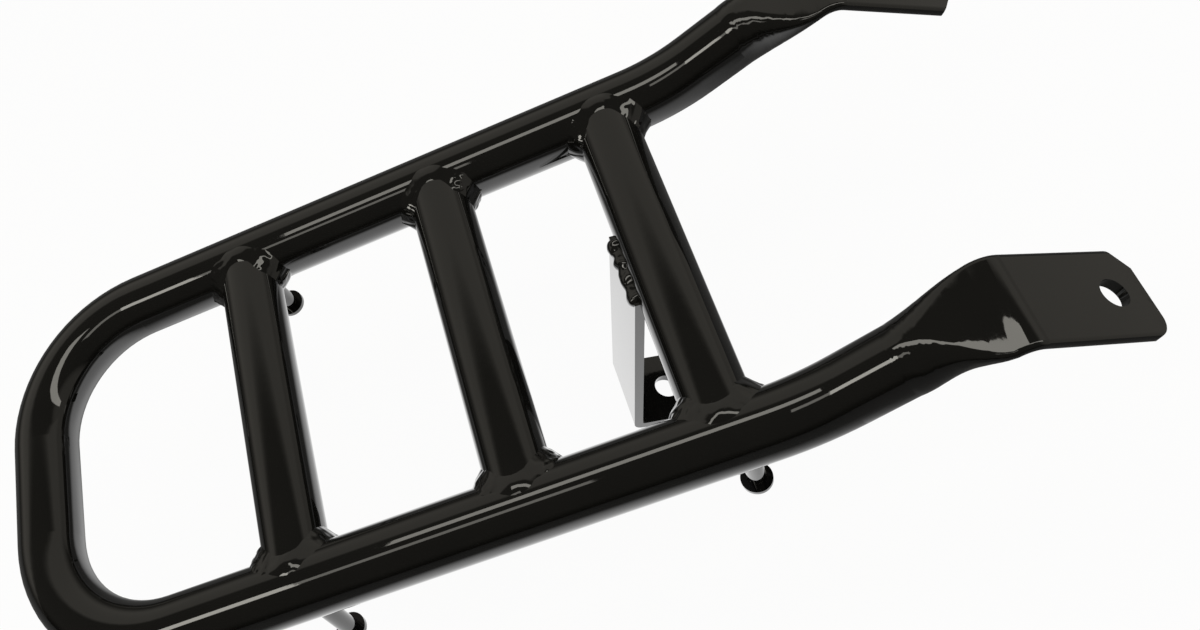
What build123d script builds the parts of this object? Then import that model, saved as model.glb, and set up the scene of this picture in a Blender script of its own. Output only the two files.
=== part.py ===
from build123d import *
from math import cos, radians, sin, sqrt, tan
import os

# Welded tube luggage rack for a motorcycle, in millimetres.
# The origin lies on the carrying plane above the middle crossbar, +X runs along the rails to the
# bolting tabs, +Y is the left side and +Z is up. Left and right mirror each other about the XZ plane.

# Tube stock of the hoop and the crossbars
tube_diameter = 20.0
tube_wall = 1.5

# Hoop centreline seen from above
rear_end_x = -148.5
rear_spacing = 114.2
arm_spacing = 119.0
corner_radius = 40.5

# Crossbars, with the middle one under the origin, in tube a hair thinner than the hoop's
rear_bar_x = -68.6
front_bar_x = 57.6
bar_undersize = 0.2

# Arms: they kick up in front of the front crossbar and end in flattened, folded tabs
arm_corner_x = 79.3
arm_rise_angle = 22.8
arm_bend_radius = 58.0
fold_x = 130.0
fold_inner_radius = 6.0

# Pressing of the arm ends, as lengths before the fold over which each size changes
inner_flare_length = 24.5
outer_flare_length = 12.0
pressing_length = 22.0

# Bolting tabs, measured along the tab from the fold
tab_drop_angle = 34.0
tab_inner_width = 14.25
tab_outer_width = 13.25
tab_length = 44.2
tab_hole_diameter = 8.5
tab_hole_distance = 33.6
tab_clip_length = 5.0
tab_clip_width = 6.5
tab_corner_radius = 6.0

# Folded bracket behind the front crossbar
bracket_width = 25.5
bracket_thickness = 3.0
bracket_tilt_angle = 11.3
bracket_drop = 81.0
bracket_bend_radius = 1.0
foot_drop_angle = 22.6
foot_length = 27.0
foot_hole_diameter = 8.5
foot_hole_distance = 14.4
foot_corner_radius = 6.0

# Strap pegs under the rails
peg_diameter = 5.8
peg_length = 25.5
peg_head_diameter = 9.5
peg_head_rim = 1.6
peg_head_height = 3.8
rear_peg_offset = -1.2
front_peg_offset = 3.8
rear_peg_lean = 6.0
front_peg_lean = 0.0

# Weld beads
weld_radius = 3.3
weld_crown = 0.8
weld_reach = 1.0
weld_start_angle = -40.0
bracket_rear_weld_radius = 2.7
bracket_rear_weld_sink = 1.6
bracket_front_weld_radius = 3.2
peg_weld_leg = 1.8

# Values that follow from the driving dimensions
tube_radius = tube_diameter / 2
bar_radius = tube_radius - bar_undersize / 2
tube_level = -tube_radius
tab_thickness = 2 * tube_wall
flattening_length = max(inner_flare_length, outer_flare_length, pressing_length)
fold_angle = arm_rise_angle + tab_drop_angle
fold_middle_radius = fold_inner_radius + tab_thickness / 2
fold_setback = fold_middle_radius * tan(radians(fold_angle / 2))
fold_level = tube_level + (fold_x - arm_corner_x) * tan(radians(arm_rise_angle))
fold_point = Vector(fold_x, arm_spacing / 2, fold_level)
arm_direction = Vector(cos(radians(arm_rise_angle)), 0, sin(radians(arm_rise_angle)))
tab_direction = Vector(cos(radians(tab_drop_angle)), 0, -sin(radians(tab_drop_angle)))
tab_plane = Plane(origin=fold_point, x_dir=tab_direction, z_dir=tab_direction.cross(Vector(0, 1, 0)))
flattening_start = fold_point - arm_direction * (fold_setback + flattening_length)

# The tube is pressed flat over these shares of the flattening length, and its bore closes before the end
flattening_shares = (0.0, 0.25, 0.5, 0.75, 1.0)
bore_shares = (0.0, 0.25, 0.5, 0.75, 0.85)
first_flat_half_angle = 8.0


def rail_y(x):
    """Distance of a rail's centreline from the middle plane at x."""
    share = (x - rear_end_x) / (arm_corner_x - rear_end_x)
    return (rear_spacing + (arm_spacing - rear_spacing) * share) / 2


def mirrored(point):
    """The same point on the right side."""
    return Vector(point.X, -point.Y, point.Z)


def hoop_sweep(radius):
    """A round bar along the hoop's centreline, from one arm's flattening to the other's."""
    arm_corner = Vector(arm_corner_x, arm_spacing / 2, tube_level)
    rear_corner = Vector(rear_end_x, rear_spacing / 2, tube_level)
    left = [flattening_start, arm_corner, rear_corner]
    right = [mirrored(point) for point in reversed(left)]
    radii = [arm_bend_radius, corner_radius, corner_radius, arm_bend_radius]
    path = FilletPolyline(*left, *right, radius=radii)
    section = Plane(origin=path @ 0, z_dir=path % 0) * Circle(radius)
    return sweep(section, path=path)


def arm_plane(distance):
    """Section plane of the left arm, a distance before the flattened end, with local Y up."""
    origin = fold_point - arm_direction * (fold_setback + distance)
    return Plane(origin=origin, x_dir=(0, 1, 0), z_dir=arm_direction)


def round_outline(radius):
    """A circle in four arcs, with short arcs at the top and bottom where the flats begin."""
    flat = first_flat_half_angle
    round_side = 180 - 2 * flat
    turns = ((90 - flat, 2 * flat), (90 + flat, round_side), (270 - flat, 2 * flat), (270 + flat, round_side))
    return Wire([CenterArc((0, 0), radius, start, size).edge() for start, size in turns])


def pressed_outline(inner, outer, height):
    """A pressed tube's outline: two flats joined by half circles, with the outer side at local +X."""
    top = height / 2
    left = top - inner
    right = outer - top
    return Wire(
        [
            Edge.make_line((right, top), (left, top)),
            Edge.make_three_point_arc((left, top), (-inner, 0), (left, -top)),
            Edge.make_line((left, -top), (right, -top)),
            Edge.make_three_point_arc((right, -top), (outer, 0), (right, top)),
        ]
    )


def eased(start, end, length, distance):
    """A size that changes smoothly from start to end over a length before the fold."""
    share = max(0.0, 1 - distance / length)
    return start + (end - start) * share * share * (3 - 2 * share)


def flattening(shares, inset):
    """The stretch of the left arm that turns from round to flat, drawn in by an inset."""
    outlines = []
    for share in shares:
        distance = flattening_length * (1 - share)
        inner = eased(tube_radius, tab_inner_width, inner_flare_length, distance) - inset
        outer = eased(tube_radius, tab_outer_width, outer_flare_length, distance) - inset
        height = eased(tube_diameter, tab_thickness, pressing_length, distance) - 2 * inset
        outline = round_outline(tube_radius - inset) if share == 0 else pressed_outline(inner, outer, height)
        outlines.append(arm_plane(distance) * outline)
    return Solid.make_loft(outlines)


def folded_tab():
    """The left tab: the fold, the flat with its clipped end, and the bolt hole."""
    flat_end = arm_plane(0)
    section = Face(pressed_outline(tab_inner_width, tab_outer_width, tab_thickness))
    fold_centre = flat_end.origin - flat_end.y_dir * fold_middle_radius
    fold = revolve(
        flat_end * section,
        axis=Axis(fold_centre, (0, 1, 0)),
        revolution_arc=fold_angle,
    )
    tab_start = Plane(
        origin=fold_point + tab_direction * fold_setback,
        x_dir=(0, 1, 0),
        z_dir=tab_direction,
    )
    strip = extrude(tab_start * section, tab_length - fold_setback)
    plan = make_face(
        Polyline(
            (0, -tab_inner_width),
            (tab_length - tab_clip_length, -tab_inner_width),
            (tab_length, tab_clip_width - tab_inner_width),
            (tab_length, tab_outer_width),
            (0, tab_outer_width),
            close=True,
        )
    )
    outer_corner = plan.vertices().sort_by(Axis.X)[-2:].sort_by(Axis.Y)[-1]
    plan = fillet(outer_corner, tab_corner_radius)
    middle = (tab_outer_width - tab_inner_width) / 2
    plan -= Pos(tab_hole_distance, middle) * Circle(tab_hole_diameter / 2)
    tab = strip & extrude(tab_plane * plan, tab_thickness, both=True)
    return fold + tab


def hoop_outside():
    """The hoop with its tabs as a filled outer shape, which the other pieces seat on."""
    left_end = flattening(flattening_shares, 0) + folded_tab()
    return hoop_sweep(tube_radius) + left_end + mirror(left_end, about=Plane.XZ)


def hoop_bore():
    """The hollow of the hoop, closed where the arms are pressed flat."""
    left_end = flattening(bore_shares, tube_wall)
    return hoop_sweep(tube_radius - tube_wall) + left_end + mirror(left_end, about=Plane.XZ)


def bar_cylinder(x, radius):
    """A cylinder along a crossbar, from one rail's centreline to the other's."""
    return Pos(x, 0, tube_level) * Cylinder(radius, 2 * rail_y(x), rotation=(90, 0, 0))


def rail_cylinder(x):
    """A cylinder along the left rail's straight run, centred at x."""
    along = Vector(1, rail_y(1) - rail_y(0), 0)
    return Plane(origin=(x, rail_y(x), tube_level), z_dir=along) * Cylinder(tube_radius, 4 * tube_diameter)


def crossbar(x, hoop):
    """A tube across the rails, coped to sit on both."""
    return bar_cylinder(x, bar_radius) - hoop - bar_cylinder(x, bar_radius - tube_wall)


def bar_weld(x, hoop):
    """The bead that joins a crossbar to the left rail, in one run down each side of the bar."""
    joint = Vector(x, rail_y(x), tube_level)
    crest = tube_radius + weld_crown - weld_radius
    bead = Part()
    for side in (-1, 1):
        outward = Vector(side, -1, 0)
        run_plane = Plane(origin=joint, x_dir=outward, z_dir=outward.cross(Vector(0, 0, 1)))
        run = run_plane * EllipticalCenterArc(
            (0, 0),
            tube_radius * sqrt(2) + weld_reach,
            crest,
            start_angle=weld_start_angle,
            arc_size=90 - weld_start_angle,
        )
        section = Plane(origin=run @ 0, z_dir=run % 0) * Circle(weld_radius)
        bead += sweep(section, path=run) - bar_cylinder(x, bar_radius) - hoop
    return bead


def bracket_plane():
    """Side view of the bracket: origin where it touches the front crossbar, local Y up along the plate."""
    tilt = radians(bracket_tilt_angle)
    up = Vector(sin(tilt), 0, cos(tilt))
    forward = Vector(cos(tilt), 0, -sin(tilt))
    origin = Vector(front_bar_x, 0, tube_level) - forward * bar_radius
    return Plane(origin=origin, x_dir=forward, z_dir=forward.cross(up))


def foot_plane():
    """Middle plane of the bracket's foot, with its origin at the fold and local X along the foot."""
    drop = radians(foot_drop_angle)
    along = Vector(cos(drop), 0, -sin(drop))
    fold = bracket_plane().from_local_coords(Vector(0, -bracket_drop))
    return Plane(origin=fold, x_dir=along, z_dir=along.cross(Vector(0, 1, 0)))


def bracket():
    """The folded strap: a plate coped to the front crossbar, a fold and a foot with a bolt hole."""
    side_view = bracket_plane()
    foot = foot_plane()
    foot_end = side_view.to_local_coords(foot.origin + foot.x_dir * foot_length)
    line = FilletPolyline(
        (0, 0),
        (0, -bracket_drop),
        (foot_end.X, foot_end.Y),
        radius=bracket_bend_radius + bracket_thickness / 2,
    )
    strap = extrude(side_view * trace(line, bracket_thickness), bracket_width / 2, both=True)
    upright = strap.edges().filter_by(Axis(foot.origin, foot.z_dir))
    foot_corners = upright.sort_by(Axis(foot.origin, foot.x_dir))[-2:]
    strap = fillet(foot_corners, foot_corner_radius)
    strap -= foot * Pos(foot_hole_distance, 0) * Cylinder(foot_hole_diameter / 2, 2 * bracket_thickness)
    return strap - bar_cylinder(front_bar_x, bar_radius)


def bracket_weld(x, y, radius, strap):
    """A bead across the bracket, centred on a point of its side view."""
    reach = bracket_width / 2 - radius
    bead = Cylinder(radius, 2 * reach)
    for end in (-reach, reach):
        bead += Pos(0, 0, end) * Sphere(radius)
    return bracket_plane() * Pos(x, y, 0) * bead - strap - bar_cylinder(front_bar_x, bar_radius)


def peg_location(x, lean):
    """Place of a peg on the left rail: it points at the rail's centreline and leans outwards."""
    return Pos(x, rail_y(x), tube_level) * Rot(lean, 0, 0)


def peg(place, seat):
    """A headed pin: a stem seated under the rail and a rounded head that keeps a strap on."""
    stem = peg_diameter / 2
    head = peg_head_diameter / 2
    neck = -tube_radius - peg_length
    rim = neck - peg_head_rim
    tip = neck - peg_head_height
    outline = Polyline((0, tip), (0, 0), (stem, 0), (stem, neck), (head, neck), (head, rim))
    dome = TangentArc((0, tip), (head, rim), tangent=(1, 0))
    profile = make_face(outline + dome)
    return place * revolve(Plane.XZ * profile, axis=Axis.Z) - seat


def peg_weld(place, seat, pin):
    """The tapered ring of weld round a peg's seat."""
    stem = peg_diameter / 2
    ring = Cone(stem, stem + 2 * peg_weld_leg, 2 * peg_weld_leg)
    return place * Pos(0, 0, -tube_radius) * ring - seat - pin


def add_pair(pieces, front, kind, left):
    """Store a left piece and its mirror image as two nodes."""
    pieces[front + "_left_" + kind] = left
    pieces[front + "_right_" + kind] = mirror(left, about=Plane.XZ)


def build():
    """All pieces of the rack, by node name."""
    hoop = hoop_outside()
    pieces = {"main_hoop": hoop - hoop_bore()}
    for name, x in (("rear", rear_bar_x), ("middle", 0.0), ("front", front_bar_x)):
        pieces[name + "_crossbar"] = crossbar(x, hoop)
        add_pair(pieces, name, "weld", bar_weld(x, hoop))
    strap = bracket()
    pieces["mounting_bracket"] = strap
    pieces["bracket_rear_weld"] = bracket_weld(0, -bracket_rear_weld_sink, bracket_rear_weld_radius, strap)
    crevice = -sqrt(bar_radius**2 - (bar_radius - bracket_thickness / 2) ** 2)
    front_x = (bracket_thickness + bracket_front_weld_radius) / 2
    front_y = crevice - bracket_front_weld_radius / 2
    pieces["bracket_front_weld"] = bracket_weld(front_x, front_y, bracket_front_weld_radius, strap)
    pegs = (
        ("rear", rear_bar_x, rear_peg_offset, rear_peg_lean),
        ("front", front_bar_x, front_peg_offset, front_peg_lean),
    )
    for name, bar_x, offset, lean in pegs:
        place = peg_location(bar_x + offset, lean)
        seat = rail_cylinder(bar_x + offset) + bar_cylinder(bar_x, bar_radius)
        pin = peg(place, seat)
        add_pair(pieces, name, "peg", pin)
        add_pair(pieces, name, "peg_weld", peg_weld(place, seat, pin))
    return pieces


os.makedirs("parts", exist_ok=True)
for node, piece in build().items():
    export_step(piece, "parts/" + node + ".step")
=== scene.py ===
"""Gloss-black welded luggage rack for a motorcycle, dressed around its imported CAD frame."""

import logging
import math
from dataclasses import dataclass
from enum import Enum

import bmesh
import bpy
from mathutils import Matrix, Vector


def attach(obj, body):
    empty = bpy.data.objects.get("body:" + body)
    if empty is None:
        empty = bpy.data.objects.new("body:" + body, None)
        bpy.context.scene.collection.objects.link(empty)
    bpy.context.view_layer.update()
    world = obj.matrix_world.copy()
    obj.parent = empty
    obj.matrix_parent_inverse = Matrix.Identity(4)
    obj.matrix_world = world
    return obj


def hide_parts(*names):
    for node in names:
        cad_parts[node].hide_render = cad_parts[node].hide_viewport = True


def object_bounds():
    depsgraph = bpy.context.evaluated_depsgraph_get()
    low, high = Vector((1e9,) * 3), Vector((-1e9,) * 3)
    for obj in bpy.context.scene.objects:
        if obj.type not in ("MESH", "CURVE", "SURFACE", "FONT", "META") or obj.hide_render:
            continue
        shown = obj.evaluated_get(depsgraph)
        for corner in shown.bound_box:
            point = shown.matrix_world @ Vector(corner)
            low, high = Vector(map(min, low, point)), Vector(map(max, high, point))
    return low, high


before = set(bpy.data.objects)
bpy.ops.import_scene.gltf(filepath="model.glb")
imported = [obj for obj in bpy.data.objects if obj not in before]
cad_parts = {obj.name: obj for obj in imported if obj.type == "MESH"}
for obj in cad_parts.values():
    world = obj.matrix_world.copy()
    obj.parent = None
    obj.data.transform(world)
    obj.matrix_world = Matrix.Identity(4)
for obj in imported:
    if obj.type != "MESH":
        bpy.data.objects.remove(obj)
CAD_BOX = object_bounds()

Colour = tuple[float, float, float, float]
Point = tuple[float, float, float]
Value = float | bpy.types.NodeSocket
Span = tuple[Value, Value]

LOG = logging.getLogger("luggage_rack")
BODY = "root"
MM = 0.001
WHITE: Colour = (1.0, 1.0, 1.0, 1.0)
TRAVEL = "travel"
SHARE = "share"
# The Mix node's colour sockets share their names with its other sockets.
MIX_FIRST, MIX_SECOND, MIX_RESULT = 6, 7, 2


class Side(Enum):
    """The two mirrored sides of the rack, with the sign of their Y."""

    LEFT = 1
    RIGHT = -1


class Station(Enum):
    """The three crossbars, with their X in millimetres."""

    REAR = -68.6
    MIDDLE = 0.0
    FRONT = 57.6


class NodeBuilder:
    """Adds and wires nodes in one shader or geometry tree."""

    def __init__(self, tree: bpy.types.NodeTree) -> None:
        """Keeps the tree that the nodes go into.

        Args:
            tree: The node tree to fill.
        """
        self.tree = tree

    def add(
        self, kind: str, settings: dict | None = None, inputs: dict | None = None
    ) -> bpy.types.Node:
        """Adds one node.

        Args:
            kind: Blender's type name of the node.
            settings: Properties of the node by name.
            inputs: Socket values or output sockets to link, by input name or index.

        Returns:
            The new node.
        """
        node = self.tree.nodes.new(kind)
        for name, value in (settings or {}).items():
            setattr(node, name, value)
        for name, value in (inputs or {}).items():
            if isinstance(value, bpy.types.NodeSocket):
                self.tree.links.new(value, node.inputs[name])
            else:
                node.inputs[name].default_value = value
        return node

    def math(
        self, operation: str, first: Value, second: Value = 0.0, clamp: bool = False
    ) -> bpy.types.NodeSocket:
        """Adds a Math node.

        Args:
            operation: Blender's name of the operation.
            first: First value or socket.
            second: Second value or socket.
            clamp: Whether the result is kept between 0 and 1.

        Returns:
            The result's socket.
        """
        node = self.add(
            "ShaderNodeMath", {"operation": operation, "use_clamp": clamp}, {0: first, 1: second}
        )
        return node.outputs[0]

    def ramp(self, value: Value, span: Span, levels: Span) -> bpy.types.NodeSocket:
        """Adds a smooth step of a value.

        Args:
            value: The value or its socket.
            span: Where the step starts and ends.
            levels: The result at its start and at its end.

        Returns:
            The result's socket.
        """
        node = self.add(
            "ShaderNodeMapRange", {"interpolation_type": "SMOOTHSTEP"},
            {
                "Value": value,
                "From Min": span[0],
                "From Max": span[1],
                "To Min": levels[0],
                "To Max": levels[1],
            },
        )
        return node.outputs[0]

    def scaled(self, vector: bpy.types.NodeSocket, scale: Value) -> bpy.types.NodeSocket:
        """Adds a scaled vector and returns its socket."""
        node = self.add("ShaderNodeVectorMath", {"operation": "SCALE"}, {0: vector, "Scale": scale})
        return node.outputs[0]

    def attribute(self, name: str) -> bpy.types.NodeSocket:
        """Adds a reader of a mesh's float attribute and returns its socket."""
        node = self.add("GeometryNodeInputNamedAttribute", {"data_type": "FLOAT"}, {"Name": name})
        return node.outputs["Attribute"]


def new_group(
    name: str, kind: str, inputs: dict[str, tuple], outputs: dict[str, str]
) -> tuple[bpy.types.NodeTree, NodeBuilder, bpy.types.Node, bpy.types.Node]:
    """Makes an empty node group with named sockets.

    Args:
        name: Name of the group.
        kind: Tree type, for shaders or geometry.
        inputs: Socket type and default value by input name.
        outputs: Socket type by output name.

    Returns:
        The tree, its builder, its group input node and its group output node.
    """
    tree = bpy.data.node_groups.new(name, kind)
    for label, (socket, value) in inputs.items():
        item = tree.interface.new_socket(label, in_out="INPUT", socket_type=socket)
        if value is not None:
            item.default_value = value
    for label, socket in outputs.items():
        tree.interface.new_socket(label, in_out="OUTPUT", socket_type=socket)
    build = NodeBuilder(tree)
    return tree, build, build.add("NodeGroupInput"), build.add("NodeGroupOutput")


def enamel_skin_group() -> bpy.types.NodeTree:
    """Shader group of the enamel's skin: its orange peel, soft runs, dust and tone.

    Returns:
        The shader node group.
    """
    tree, build, given, result = new_group(
        "enamel_skin",
        "ShaderNodeTree",
        {
            "Peel Scale": ("NodeSocketFloat", 420.0),
            "Run Scale": ("NodeSocketFloat", 60.0),
            "Run Share": ("NodeSocketFloat", 0.6),
            "Dust Scale": ("NodeSocketFloat", 900.0),
            "Dust Size": ("NodeSocketFloat", 0.16),
            "Dust Level": ("NodeSocketFloat", 0.75),
            "Dust Share": ("NodeSocketFloat", 0.25),
        },
        {"Height": "NodeSocketFloat", "Dust": "NodeSocketFloat", "Tone": "NodeSocketFloat"},
    )
    place = build.add("ShaderNodeTexCoord").outputs["Object"]
    peel = build.add(
        "ShaderNodeTexNoise", None,
        {"Vector": place, "Scale": given.outputs["Peel Scale"], "Detail": 1.0, "Roughness": 0.4},
    ).outputs["Fac"]
    run = build.add(
        "ShaderNodeTexNoise", None,
        {"Vector": place, "Scale": given.outputs["Run Scale"], "Detail": 2.0, "Roughness": 0.45},
    ).outputs["Fac"]
    run_height = build.math("MULTIPLY", run, given.outputs["Run Share"])
    height = build.math("ADD", peel, run_height)
    specks = build.add(
        "ShaderNodeTexVoronoi", {"feature": "F1"},
        {"Vector": place, "Scale": given.outputs["Dust Scale"], "Randomness": 1.0},
    ).outputs["Distance"]
    small = build.math("LESS_THAN", specks, given.outputs["Dust Size"])
    dusty = build.math("SUBTRACT", given.outputs["Dust Level"], given.outputs["Dust Share"])
    patch = build.math("GREATER_THAN", run, dusty)
    dust = build.math("MULTIPLY", small, patch)
    tree.links.new(height, result.inputs["Height"])
    tree.links.new(dust, result.inputs["Dust"])
    tree.links.new(run, result.inputs["Tone"])
    return tree


@dataclass(frozen=True)
class Enamel:
    """Gloss-black stove enamel on one kind of surface."""

    name: str
    deep: Colour = (0.0036, 0.0036, 0.0034, 1.0)
    worn: Colour = (0.0060, 0.0058, 0.0052, 1.0)
    smooth: float = 0.035
    dull: float = 0.11
    peel_scale: float = 420.0
    peel_depth: float = 0.000010
    run_scale: float = 60.0
    run_share: float = 1.0
    dust_share: float = 0.16
    index: float = 1.5
    coat: float = 1.0

    def material(self, skin: bpy.types.NodeTree) -> bpy.types.Material:
        """Builds the material.

        Args:
            skin: The shared group of the enamel's skin.

        Returns:
            The procedural material.
        """
        made = bpy.data.materials.new(self.name)
        made.use_nodes = True
        made.diffuse_color = self.worn
        tree = made.node_tree
        build = NodeBuilder(tree)
        shader = tree.nodes["Principled BSDF"]
        film = build.add(
            "ShaderNodeGroup", {"node_tree": skin},
            {
                "Peel Scale": self.peel_scale,
                "Run Scale": self.run_scale,
                "Run Share": self.run_share,
                "Dust Share": self.dust_share,
            },
        )
        tone = build.add(
            "ShaderNodeMix", {"data_type": "RGBA"},
            {"Factor": film.outputs["Tone"], MIX_FIRST: self.deep, MIX_SECOND: self.worn},
        )
        gloss = build.add(
            "ShaderNodeMapRange", None,
            {"Value": film.outputs["Dust"], "To Min": self.smooth, "To Max": self.dull},
        )
        bump = build.add(
            "ShaderNodeBump", None,
            {"Height": film.outputs["Height"], "Distance": self.peel_depth, "Strength": 1.0},
        )
        tree.links.new(tone.outputs[MIX_RESULT], shader.inputs["Base Color"])
        tree.links.new(gloss.outputs["Result"], shader.inputs["Roughness"])
        tree.links.new(bump.outputs["Normal"], shader.inputs["Normal"])
        shader.inputs["IOR"].default_value = self.index
        shader.inputs["Coat Weight"].default_value = self.coat
        shader.inputs["Coat Roughness"].default_value = self.smooth
        return made


def end_tree(
    build: NodeBuilder, shape: bpy.types.NodeSocket, given: bpy.types.Node, result: bpy.types.Node
) -> None:
    """Ends a geometry tree with real geometry in its finish.

    Args:
        build: Builder of the tree.
        shape: Socket of the finished shape.
        given: The tree's group input node.
        result: The tree's group output node.
    """
    real = build.add("GeometryNodeRealizeInstances", None, {"Geometry": shape})
    dressed = build.add(
        "GeometryNodeSetMaterial", None,
        {"Geometry": real.outputs[0], "Material": given.outputs["Finish"]},
    )
    build.tree.links.new(dressed.outputs[0], result.inputs["Geometry"])


def weld_skin_tree() -> bpy.types.NodeTree:
    """Geometry tree of a weld's skin: smooth lumps and faint ripples on a swept shape.

    Returns:
        The geometry node tree.
    """
    tree, build, given, result = new_group(
        "weld_skin",
        "GeometryNodeTree",
        {
            "Geometry": ("NodeSocketGeometry", None),
            "Level": ("NodeSocketInt", 2),
            "Lump Scale": ("NodeSocketFloat", 140.0),
            "Lump Depth": ("NodeSocketFloat", 1.6 * MM),
            "Ripple Pitch": ("NodeSocketFloat", 2.4 * MM),
            "Ripple Depth": ("NodeSocketFloat", 0.025 * MM),
            "Ripple Drift": ("NodeSocketFloat", 1.5),
            "Spatter Scale": ("NodeSocketFloat", 520.0),
            "Spatter Depth": ("NodeSocketFloat", 0.7 * MM),
            "Spatter Start": ("NodeSocketFloat", 0.44),
            "Spatter Full": ("NodeSocketFloat", 0.62),
            "Spatter Least": ("NodeSocketFloat", 0.05),
            "Calm": ("NodeSocketFloat", 0.0),
            "Calm Core": ("NodeSocketFloat", 0.08),
            "Calm Reach": ("NodeSocketFloat", 0.4),
            "Seed": ("NodeSocketFloat", 0.0),
            "Finish": ("NodeSocketMaterial", None),
        },
        {"Geometry": "NodeSocketGeometry"},
    )
    tree.is_modifier = True
    fine = build.add(
        "GeometryNodeSubdivisionSurface", None,
        {"Mesh": given.outputs["Geometry"], "Level": given.outputs["Level"]},
    )
    where = build.add("GeometryNodeInputPosition").outputs[0]
    lumps = build.add(
        "ShaderNodeTexNoise", {"noise_dimensions": "4D"},
        {
            "Vector": where,
            "W": given.outputs["Seed"],
            "Scale": given.outputs["Lump Scale"],
            "Detail": 1.0,
            "Roughness": 0.4,
        },
    ).outputs["Fac"]
    swelling = build.math(
        "MULTIPLY", build.math("SUBTRACT", lumps, 0.5), given.outputs["Lump Depth"]
    )
    turns = build.math("DIVIDE", build.attribute(TRAVEL), given.outputs["Ripple Pitch"])
    drift = build.math("MULTIPLY", lumps, given.outputs["Ripple Drift"])
    phase = build.math("MULTIPLY", build.math("ADD", turns, drift), math.tau)
    ripple = build.math("MULTIPLY", build.math("SINE", phase), given.outputs["Ripple Depth"])
    spatter = build.add(
        "ShaderNodeTexNoise", {"noise_dimensions": "4D"},
        {
            "Vector": where,
            "W": given.outputs["Seed"],
            "Scale": given.outputs["Spatter Scale"],
            "Detail": 0.0,
        },
    ).outputs["Fac"]
    patch = build.ramp(
        lumps,
        (given.outputs["Spatter Start"], given.outputs["Spatter Full"]),
        (given.outputs["Spatter Least"], 1.0),
    )
    drop_depth = build.math("MULTIPLY", patch, given.outputs["Spatter Depth"])
    drops = build.math("MULTIPLY", build.math("SUBTRACT", spatter, 0.5), drop_depth)
    twice = build.math("MULTIPLY", build.attribute(SHARE), 2.0)
    from_middle = build.math("ABSOLUTE", build.math("SUBTRACT", twice, 1.0))
    rough = build.ramp(
        from_middle,
        (given.outputs["Calm Core"], given.outputs["Calm Reach"]),
        (build.math("SUBTRACT", 1.0, given.outputs["Calm"]), 1.0),
    )
    relief = build.math("ADD", build.math("ADD", ripple, swelling), drops)
    normal = build.add("GeometryNodeInputNormal").outputs[0]
    offset = build.scaled(normal, build.math("MULTIPLY", relief, rough))
    moved = build.add(
        "GeometryNodeSetPosition", None, {"Geometry": fine.outputs[0], "Offset": offset}
    )
    smooth = build.add("GeometryNodeSetShadeSmooth", None, {"Geometry": moved.outputs[0]})
    end_tree(build, smooth.outputs[0], given, result)
    return tree


def pressed_sheen_tree() -> bpy.types.NodeTree:
    """Geometry tree that evens the shading of the pressed arm ends and leaves their shape as it is.

    Returns:
        The geometry node tree.
    """
    tree, build, given, result = new_group(
        "pressed_sheen",
        "GeometryNodeTree",
        {
            "Geometry": ("NodeSocketGeometry", None),
            "Start": ("NodeSocketFloat", 99.0 * MM),
            "End": ("NodeSocketFloat", 130.0 * MM),
            "Fade": ("NodeSocketFloat", 3.0 * MM),
            "Tube": ("NodeSocketFloat", 20.0 * MM),
            "Clearance": ("NodeSocketFloat", 0.05 * MM),
            "Seam": ("NodeSocketFloat", 0.001 * MM),
            "Passes": ("NodeSocketInt", 40),
            "Cuts": ("NodeSocketInt", 2),
            "Finish": ("NodeSocketMaterial", None),
        },
        {"Geometry": "NodeSocketGeometry"},
    )
    tree.is_modifier = True
    where = build.add("GeometryNodeInputPosition").outputs[0]
    along = build.add("ShaderNodeSeparateXYZ", None, {0: where}).outputs["X"]
    past = build.math("SUBTRACT", along, given.outputs["Start"])
    left = build.math("SUBTRACT", given.outputs["End"], along)
    near = build.math("MINIMUM", past, left)
    pressed = build.math("GREATER_THAN", near, 0.0)
    normal = build.add("GeometryNodeInputNormal").outputs[0]
    clear = build.scaled(normal, given.outputs["Clearance"])
    source = build.add("ShaderNodeVectorMath", {"operation": "ADD"}, {0: where, 1: clear})
    bore = build.add(
        "GeometryNodeRaycast", None,
        {
            "Target Geometry": given.outputs["Geometry"],
            "Source Position": source.outputs[0],
            "Ray Direction": normal,
            "Ray Length": given.outputs["Tube"],
        },
    ).outputs["Is Hit"]
    outside = build.math("GREATER_THAN", pressed, bore)
    parts = build.add(
        "GeometryNodeSeparateGeometry", {"domain": "FACE"},
        {"Geometry": given.outputs["Geometry"], "Selection": outside},
    )
    welded = build.add(
        "GeometryNodeMergeByDistance", None,
        {"Geometry": parts.outputs["Selection"], "Distance": given.outputs["Seam"]},
    )
    fine = build.add(
        "GeometryNodeSubdivideMesh", None,
        {"Mesh": welded.outputs[0], "Level": given.outputs["Cuts"]},
    )
    even = build.add(
        "GeometryNodeBlurAttribute", {"data_type": "FLOAT_VECTOR"},
        {
            "Value": normal,
            "Iterations": given.outputs["Passes"],
            "Weight": build.math("DIVIDE", near, given.outputs["Fade"], clamp=True),
        },
    )
    shaded = build.add(
        "GeometryNodeSetMeshNormal", {"mode": "FREE", "domain": "POINT"},
        {"Mesh": fine.outputs[0], "Custom Normal": even.outputs[0]},
    )
    joined = build.add("GeometryNodeJoinGeometry")
    tree.links.new(parts.outputs["Inverted"], joined.inputs[0])
    tree.links.new(shaded.outputs[0], joined.inputs[0])
    end_tree(build, joined.outputs[0], given, result)
    return tree


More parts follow.
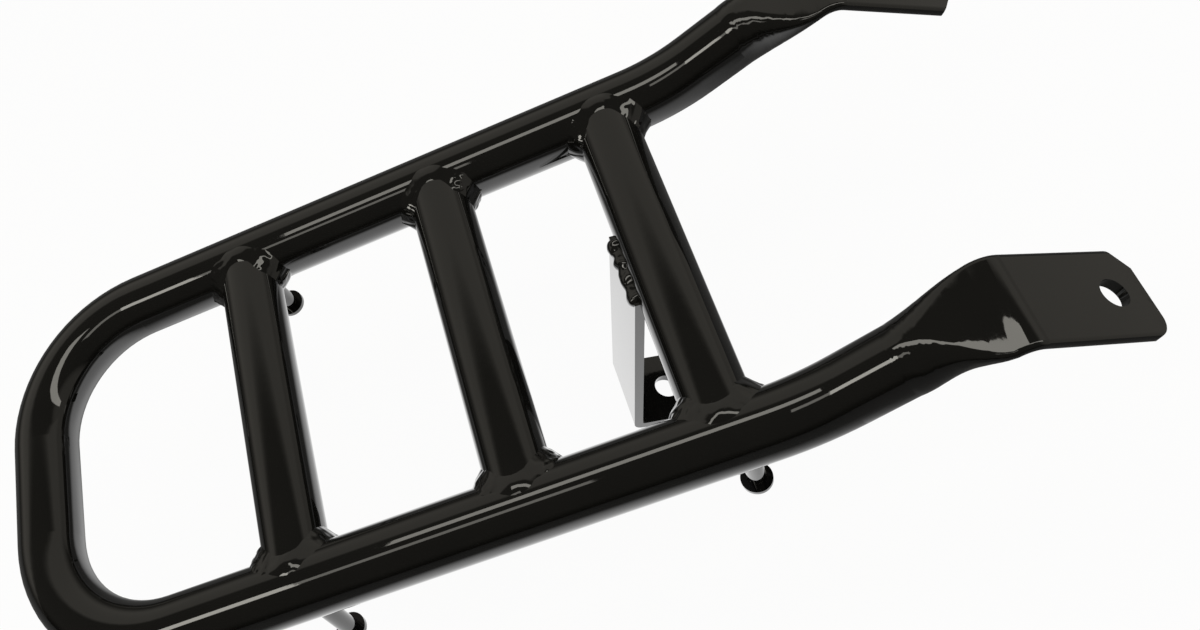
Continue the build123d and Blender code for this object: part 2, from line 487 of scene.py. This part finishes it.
def ring_mesh(name: str, rings: list[list[Point]]) -> bpy.types.Mesh:
    """Makes a closed skin over a row of rings.

    Args:
        name: Name of the mesh.
        rings: Rings in order, all with the same number of points.

    Returns:
        The mesh, with its points in the order of the rings.
    """
    count = len(rings[0])
    last = (len(rings) - 1) * count
    faces = [tuple(reversed(range(count))), tuple(range(last, last + count))]
    for row in range(0, last, count):
        for spot in range(count):
            beside = (spot + 1) % count
            faces.append((row + spot, row + beside, row + count + beside, row + count + spot))
    shell = bmesh.new()
    corners = [shell.verts.new(point) for ring in rings for point in ring]
    for face in faces:
        shell.faces.new([corners[spot] for spot in face])
    bmesh.ops.recalc_face_normals(shell, faces=shell.faces)
    mesh = bpy.data.meshes.new(name)
    shell.to_mesh(mesh)
    shell.free()
    return mesh


def ring_object(name: str, rings: list[list[Point]]) -> bpy.types.Object:
    """Makes a closed piece over a row of rings, with each point's travel along the row.

    Args:
        name: Name of the object.
        rings: Rings in order, all with the same number of points.

    Returns:
        The linked object.
    """
    mesh = ring_mesh(name, rings)
    middles = [sum(map(Vector, ring), Vector()) / len(ring) for ring in rings]
    travel = [0.0]
    for before, after in zip(middles, middles[1:]):
        travel.append(travel[-1] + (after - before).length)
    along = [distance for distance, ring in zip(travel, rings) for _ in ring]
    marks = mesh.attributes.new(TRAVEL, "FLOAT", "POINT")
    marks.data.foreach_set("value", along)
    shares = mesh.attributes.new(SHARE, "FLOAT", "POINT")
    shares.data.foreach_set("value", [distance / travel[-1] for distance in along])
    made = bpy.data.objects.new(name, mesh)
    bpy.context.scene.collection.objects.link(made)
    return made


def smooth_step(value: float) -> float:
    """Smooth change from 0 to 1 of a value kept in that range."""
    share = min(1.0, max(0.0, value))
    return share * share * (3 - 2 * share)


def add_tree(
    piece: bpy.types.Object, tree: bpy.types.NodeTree, values: dict
) -> bpy.types.Modifier:
    """Puts a geometry tree on a piece.

    Args:
        piece: Object that holds the tree's input.
        tree: Geometry node tree.
        values: Input values by name.

    Returns:
        The modifier that runs the tree.
    """
    modifier = piece.modifiers.new(tree.name, "NODES")
    modifier.node_group = tree
    for item in tree.interface.items_tree:
        if item.in_out == "INPUT" and item.name in values:
            modifier[item.identifier] = values[item.name]
    return modifier


def run_tree(piece: bpy.types.Object, tree: bpy.types.NodeTree, values: dict) -> None:
    """Runs a geometry tree on a piece and keeps the result as its plain mesh.

    Args:
        piece: Object that holds the tree's input.
        tree: Geometry node tree.
        values: Input values by name.
    """
    modifier = add_tree(piece, tree, values)
    bpy.context.view_layer.update()
    graph = bpy.context.evaluated_depsgraph_get()
    mesh = bpy.data.meshes.new_from_object(piece.evaluated_get(graph))
    piece.modifiers.remove(modifier)
    swept = piece.data
    piece.data = mesh
    bpy.data.meshes.remove(swept)
    mesh.name = piece.name


def dress_node(name: str, finish: bpy.types.Material) -> None:
    """Gives a CAD node its finish.

    Args:
        name: Name of the node.
        finish: Material for all of it.
    """
    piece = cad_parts[name]
    piece.data.materials.clear()
    piece.data.materials.append(finish)
    LOG.info("dressed %s", name)


def place_piece(piece: bpy.types.Object, *nodes: str) -> None:
    """Fixes a new piece to the rack in place of CAD nodes.

    Args:
        piece: The finished piece.
        nodes: Names of the nodes that it stands for.
    """
    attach(piece, BODY)
    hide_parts(*nodes)
    LOG.info("built %s, %d faces", piece.name, len(piece.data.polygons))


@dataclass
class TubeFrame:
    """The bent hoop with its three crossbars."""

    hoop: str = "main_hoop"

    def dress(self, finish: bpy.types.Material) -> None:
        """Coats the hoop and the crossbars."""
        dress_node(self.hoop, finish)
        add_tree(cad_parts[self.hoop], pressed_sheen_tree(), {"Finish": finish})
        for station in Station:
            dress_node(f"{station.name.lower()}_crossbar", finish)


@dataclass
class BarWelds:
    """The six fillets of weld that join the crossbars to the rails, in millimetres."""

    tube_radius: float = 10.0
    tube_level: float = -10.0
    start_angle: float = -40.0
    rail_leg: float = 4.4
    bar_leg: float = 6.0
    bar_round: float = 3.0
    apex_leg: float = 0.8
    toe_start: float = 3.0
    toe_length: float = 7.0
    apex_round: float = 2.5
    apex_share: float = 0.12
    side_crown: float = 0.15
    apex_crown: float = 1.0
    crown_reach: float = 0.4
    apex_calm: float = 0.8
    sink: float = 0.5
    core: float = 1.5
    end_share: float = 0.12
    end_size: float = 0.3
    rear_end_x: float = -148.5
    arm_corner_x: float = 79.3
    rear_spacing: float = 114.2
    arm_spacing: float = 119.0
    seed_step: float = 3.7
    steps: int = 60
    across: int = 14

    def rail_y(self, x: float) -> float:
        """Distance of a rail's centreline from the middle plane at x."""
        share = (x - self.rear_end_x) / (self.arm_corner_x - self.rear_end_x)
        return (self.rear_spacing + (self.arm_spacing - self.rear_spacing) * share) / 2

    def section(self, share: float) -> list[Vector]:
        """Section of the fillet at one place of its run round the bar.

        Args:
            share: Place on the run, from -1 at one lower end over 0 on top to 1 at the other.

        Returns:
            Points along the rail, inwards along the bar and up, from the joint's middle.
        """
        radius = self.tube_radius
        angle = math.radians(90 - abs(share) * (90 - self.start_angle))
        hand = math.copysign(1.0, share)
        lean = share / math.hypot(share, self.apex_share)
        out = radius * math.cos(angle)
        back = math.hypot(out, self.apex_round) - self.apex_round * math.exp(-out / self.apex_round)
        size = self.end_size + (1 - self.end_size) * smooth_step((1 - abs(share)) / self.end_share)
        # The edge on the rail, with its toe laid flat near the top of the tubes.
        toe = back * smooth_step((back - self.toe_start) / self.toe_length)
        inward = toe - (1 - abs(lean)) * self.apex_leg
        height = math.copysign(math.sqrt(max(0.0, radius**2 - inward**2)), math.sin(angle))
        on_rail = Vector((hand * out + lean * self.rail_leg * size, inward, height))
        start = on_rail - Vector((0, inward, height)) * (self.sink / radius)
        # The edge on the bar, rounded over the bar's top.
        along_bar = math.hypot(back, self.bar_round) - self.bar_round / 2 + self.bar_leg * size
        on_bar = Vector((hand * out, along_bar, radius * math.sin(angle)))
        end = on_bar - Vector((on_bar.x, 0, on_bar.z)) * (self.sink / radius)
        # The crown rises between the outward directions of the two tubes.
        off_bar = Vector((hand * math.cos(angle), 0, math.sin(angle)))
        off_rail = Vector((0, math.cos(angle), math.sin(angle)))
        outward = (off_bar + off_rail).normalized()
        top = smooth_step(1 - math.cos(angle) / self.crown_reach)
        crown = self.side_crown + (self.apex_crown - self.side_crown) * top
        points = []
        for step in range(self.across + 1):
            part = step / self.across
            points.append(start.lerp(end, part) + outward * (4 * crown * part * (1 - part)))
        joint = Vector((hand * out, back, radius * math.sin(angle)))
        points.append(joint - outward * self.core)
        return points

    def rings(self, station: Station, side: Side) -> list[list[Point]]:
        """Rings of one fillet, up one side of the bar, over the saddle and down the other.

        Args:
            station: The crossbar.
            side: The rail.

        Returns:
            Rings of points in metres.
        """
        made = []
        for step in range(-self.steps, self.steps + 1):
            ring = []
            # Half a step aside, no ring lies right on the top, where the fillet changes hands.
            for point in self.section((step + 0.5) / (self.steps + 0.5)):
                x = station.value + point.x
                y = side.value * (self.rail_y(x) - point.y)
                ring.append((x * MM, y * MM, (self.tube_level + point.z) * MM))
            made.append(ring)
        return made

    def build(self, tree: bpy.types.NodeTree, finish: bpy.types.Material) -> None:
        """Builds the fillets in place of their CAD nodes.

        Args:
            tree: The weld skin's geometry tree.
            finish: Material of the welds.
        """
        for number, station in enumerate(Station):
            for side in Side:
                node = f"{station.name.lower()}_{side.name.lower()}_weld"
                piece = ring_object(f"{node}_bead", self.rings(station, side))
                seed = self.seed_step * number + side.value
                run_tree(piece, tree, {"Calm": self.apex_calm, "Seed": seed, "Finish": finish})
                place_piece(piece, node)


@dataclass
class MountingBracket:
    """The folded strap under the front crossbar with its two beads, in millimetres."""

    bar_x: float = Station.FRONT.value
    bar_level: float = -10.0
    bar_radius: float = 9.9
    tilt_angle: float = 11.3
    width: float = 25.5
    thickness: float = 3.0
    rear_radius: float = 2.7
    rear_sink: float = 1.6
    front_radius: float = 3.2
    end_trim: float = 0.999
    blob_pitch: float = 6.5
    blob_depth: float = 0.3
    lump_depth: float = 0.8
    first_seed: float = 20.0
    steps: int = 60
    around: int = 20

    def side_point(self, forward: float, up: float, y: float) -> Point:
        """A point of the bracket's tilted side view, in metres.

        Args:
            forward: Distance in front of the plate's middle.
            up: Distance above the line where the plate meets the bar.
            y: Distance from the middle plane.

        Returns:
            The point in the rack's frame.
        """
        tilt = math.radians(self.tilt_angle)
        ahead = Vector((math.cos(tilt), 0, -math.sin(tilt)))
        above = Vector((math.sin(tilt), 0, math.cos(tilt)))
        touch = Vector((self.bar_x, 0, self.bar_level)) - ahead * self.bar_radius
        return tuple((touch + ahead * forward + above * up + Vector((0, y, 0))) * MM)

    def rings(self, forward: float, up: float, radius: float) -> list[list[Point]]:
        """Rings of a round-ended bead across the strap.

        Args:
            forward: Distance of its middle in front of the plate's middle.
            up: Distance of its middle above the line where the plate meets the bar.
            radius: Radius of the bead.

        Returns:
            Rings of points in metres.
        """
        half = self.width / 2
        turns = [math.tau * spot / self.around for spot in range(self.around)]
        made = []
        for step in range(self.steps + 1):
            y = half * math.sin(math.pi * (step / self.steps - 0.5)) * self.end_trim
            past = max(0.0, abs(y) - (half - radius))
            size = math.sqrt(radius**2 - past**2)
            made.append([
                self.side_point(forward + size * math.cos(turn), up + size * math.sin(turn), y)
                for turn in turns
            ])
        return made

    def build(
        self, tree: bpy.types.NodeTree, plate: bpy.types.Material, bead: bpy.types.Material
    ) -> None:
        """Coats the strap and builds its beads.

        Args:
            tree: The weld skin's geometry tree.
            plate: Finish of the strap.
            bead: Finish of the beads.
        """
        dress_node("mounting_bracket", plate)
        crevice = -math.sqrt(self.bar_radius**2 - (self.bar_radius - self.thickness / 2) ** 2)
        front = (self.thickness + self.front_radius) / 2
        places = {
            "bracket_rear_weld": (0.0, -self.rear_sink, self.rear_radius),
            "bracket_front_weld": (front, crevice - self.front_radius / 2, self.front_radius),
        }
        for number, (node, place) in enumerate(places.items()):
            piece = ring_object(f"{node}_bead", self.rings(*place))
            values = {
                "Ripple Pitch": self.blob_pitch * MM,
                "Ripple Depth": self.blob_depth * MM,
                "Lump Depth": self.lump_depth * MM,
                "Seed": self.first_seed + number,
                "Finish": bead,
            }
            run_tree(piece, tree, values)
            place_piece(piece, node)


@dataclass
class StrapPegs:
    """The four headed pins under the rails, with their weld rings."""

    mark: str = "_peg"

    def dress(self, finish: bpy.types.Material) -> None:
        """Coats the pins and their weld rings."""
        for name in sorted(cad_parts):
            if self.mark in name:
                dress_node(name, finish)


@dataclass(frozen=True)
class Paper:
    """White studio paper, with a bright pool where the enamel mirrors it, in metres."""

    name: str = "white_paper"
    shade: Colour = (0.8, 0.8, 0.8, 1.0)
    glow_share: float = 0.95
    pool_x: float = -0.03
    pool_y: float = -0.02
    pool_length: float = 0.10
    pool_far: float = 0.12
    pool_near: float = 0.17
    pool_span: Span = (0.7, 1.7)
    pool_levels: Span = (1.0, 0.06)

    def pool(self, build: NodeBuilder) -> bpy.types.NodeSocket:
        """Adds the pool's brightness over the floor.

        Args:
            build: Builder of the material's tree.

        Returns:
            The brightness's socket.
        """
        place = build.add("ShaderNodeTexCoord").outputs["Object"]
        apart = build.add("ShaderNodeSeparateXYZ", None, {0: place})
        ahead = build.math("SUBTRACT", apart.outputs["X"], self.pool_x)
        along = build.math("DIVIDE", ahead, self.pool_length)
        aside = build.math("SUBTRACT", apart.outputs["Y"], self.pool_y)
        far = build.math("DIVIDE", aside, self.pool_far)
        near = build.math("DIVIDE", aside, -self.pool_near)
        across = build.math("MAXIMUM", far, near)
        squares = [build.math("POWER", part, 2.0) for part in (along, across)]
        away = build.math("SQRT", build.math("ADD", *squares))
        return build.ramp(away, self.pool_span, self.pool_levels)

    def material(self) -> bpy.types.Material:
        """Builds the paper, which keeps a soft shadow.

        Returns:
            The floor's material.
        """
        made = bpy.data.materials.new(self.name)
        made.use_nodes = True
        tree = made.node_tree
        build = NodeBuilder(tree)
        tree.nodes.remove(tree.nodes["Principled BSDF"])
        rays = build.add("ShaderNodeLightPath").outputs
        seen = build.math("MAXIMUM", rays["Is Camera Ray"], rays["Is Transmission Ray"])
        mirrored = build.math("MULTIPLY", rays["Is Glossy Ray"], self.pool(build))
        strength = build.math("MAXIMUM", seen, mirrored)
        shown = build.math("MAXIMUM", seen, rays["Is Glossy Ray"])
        share = build.math("MULTIPLY", shown, self.glow_share)
        lit = build.add("ShaderNodeBsdfDiffuse", None, {"Color": self.shade})
        white = build.add("ShaderNodeEmission", None, {"Color": WHITE, "Strength": strength})
        mix = build.add(
            "ShaderNodeMixShader", None, {0: share, 1: lit.outputs[0], 2: white.outputs[0]}
        )
        tree.links.new(mix.outputs[0], tree.nodes["Material Output"].inputs["Surface"])
        return made


@dataclass(frozen=True)
class Lamp:
    """A level soft light over the rack, in metres, with the brightness of its face."""

    name: str
    place: Point
    size: tuple[float, float]
    radiance: float
    mirrored: bool = True

    def hang(self, colour: Point) -> None:
        """Puts the light in the scene, in the given colour."""
        data = bpy.data.lights.new(self.name, "AREA")
        data.shape = "RECTANGLE"
        data.size, data.size_y = self.size
        data.energy = self.radiance * math.pi * self.size[0] * self.size[1]
        data.color = colour
        made = bpy.data.objects.new(self.name, data)
        made.location = self.place
        made.visible_glossy = self.mirrored
        bpy.context.scene.collection.objects.link(made)


@dataclass
class Studio:
    """Camera, floor and soft light of the picture, in metres."""

    location: Point = (0.0502, -0.1754, 0.2780)
    right: Point = (0.9222, -0.2343, -0.3077)
    up: Point = (0.3559, 0.8256, 0.4379)
    forward: Point = (-0.1515, 0.5134, -0.8447)
    sensor: float = 36.0
    lens: float = 34.04
    shift: tuple[float, float] = (0.1055, 0.0155)
    clip_start: float = 0.01
    floor_size: float = 40.0
    floor_gap: float = 0.0005
    lamp_colour: Point = (1.0, 0.97, 0.88)
    lamps: tuple[Lamp, ...] = (
        Lamp("main_strip", (0.36, 0.060, 0.47), (1.08, 0.093), 2.2),
        Lamp("rear_strip", (-0.80, -0.19, 0.70), (0.90, 0.14), 4.0),
        Lamp("dim_strip", (-0.2025, -0.19, 0.70), (0.295, 0.10), 1.3),
        Lamp("soft_fill", (0.0, 0.0, 1.60), (2.0, 2.0), 1.6, mirrored=False),
    )
    wall_colour: Colour = (1.0, 0.95, 0.84, 1.0)
    wall_light: float = 0.29
    horizon: float = 0.05
    wall_slope: tuple[Span, Span] = ((0.54, 0.74), (0.2, 1.0))
    wall_rise: tuple[Span, Span] = ((0.05, 0.40), (0.15, 1.0))
    front_wall: tuple[Span, Span] = ((0.60, 0.85), (0.0, 0.76))

    def camera(self) -> None:
        """Sets the camera at the photograph's angle."""
        data = bpy.data.cameras.new("camera")
        data.sensor_width = self.sensor
        data.lens = self.lens
        data.shift_x, data.shift_y = self.shift
        data.clip_start = self.clip_start
        made = bpy.data.objects.new("camera", data)
        turn = Matrix((self.right, self.up, -Vector(self.forward))).transposed()
        made.matrix_world = Matrix.Translation(self.location) @ turn.to_4x4()
        bpy.context.scene.collection.objects.link(made)
        bpy.context.scene.camera = made

    def floor(self) -> None:
        """Lays the white paper floor under the lowest point of the rack."""
        half = self.floor_size / 2
        level = CAD_BOX[0].z - self.floor_gap
        corners = [(x * half, y * half, level) for x, y in ((-1, -1), (1, -1), (1, 1), (-1, 1))]
        mesh = bpy.data.meshes.new("floor")
        mesh.from_pydata(corners, [], [(0, 1, 2, 3)])
        made = bpy.data.objects.new("floor", mesh)
        bpy.context.scene.collection.objects.link(made)
        mesh.materials.append(Paper().material())

    def world(self) -> None:
        """Fills the room with dim warm light from its pale walls, behind white for the camera."""
        made = bpy.data.worlds.new("studio_room")
        made.use_nodes = True
        tree = made.node_tree
        build = NodeBuilder(tree)
        place = build.add("ShaderNodeTexCoord").outputs["Generated"]
        apart = build.add("ShaderNodeSeparateXYZ", None, {0: place}).outputs
        above = build.math("MAXIMUM", apart["Z"], self.horizon)
        behind = build.ramp(build.math("DIVIDE", apart["Y"], above), *self.wall_slope)
        rising = build.ramp(apart["Z"], *self.wall_rise)
        ahead = build.ramp(apart["X"], *self.front_wall)
        wall = build.math("MAXIMUM", build.math("MULTIPLY", behind, rising), ahead)
        room = tree.nodes["Background"]
        room.inputs["Color"].default_value = self.wall_colour
        tree.links.new(build.math("MULTIPLY", wall, self.wall_light), room.inputs["Strength"])
        plain = build.add("ShaderNodeBackground", None, {"Color": WHITE, "Strength": 1.0})
        seen = build.add("ShaderNodeLightPath").outputs["Is Camera Ray"]
        mix = build.add(
            "ShaderNodeMixShader", None, {0: seen, 1: room.outputs[0], 2: plain.outputs[0]}
        )
        tree.links.new(mix.outputs[0], tree.nodes["World Output"].inputs["Surface"])
        bpy.context.scene.world = made

    def build(self) -> None:
        """Sets up the whole studio."""
        self.camera()
        self.floor()
        self.world()
        for lamp in self.lamps:
            lamp.hang(self.lamp_colour)
        bpy.context.scene.view_settings.view_transform = "Standard"


def main() -> None:
    """Builds the rack's looks and the studio in order."""
    logging.basicConfig(level=logging.INFO)
    skin = enamel_skin_group()
    tube_coat = Enamel("tube_enamel").material(skin)
    plate_coat = Enamel("plate_enamel", run_scale=90.0).material(skin)
    bead_coat = Enamel("bead_enamel", peel_scale=600.0, run_scale=180.0).material(skin)
    peg_coat = Enamel("peg_enamel", peel_scale=700.0).material(skin)
    weld = weld_skin_tree()
    TubeFrame().dress(tube_coat)
    BarWelds().build(weld, bead_coat)
    MountingBracket().build(weld, plate_coat, bead_coat)
    StrapPegs().dress(peg_coat)
    Studio().build()


if __name__ == "__main__":
    main()
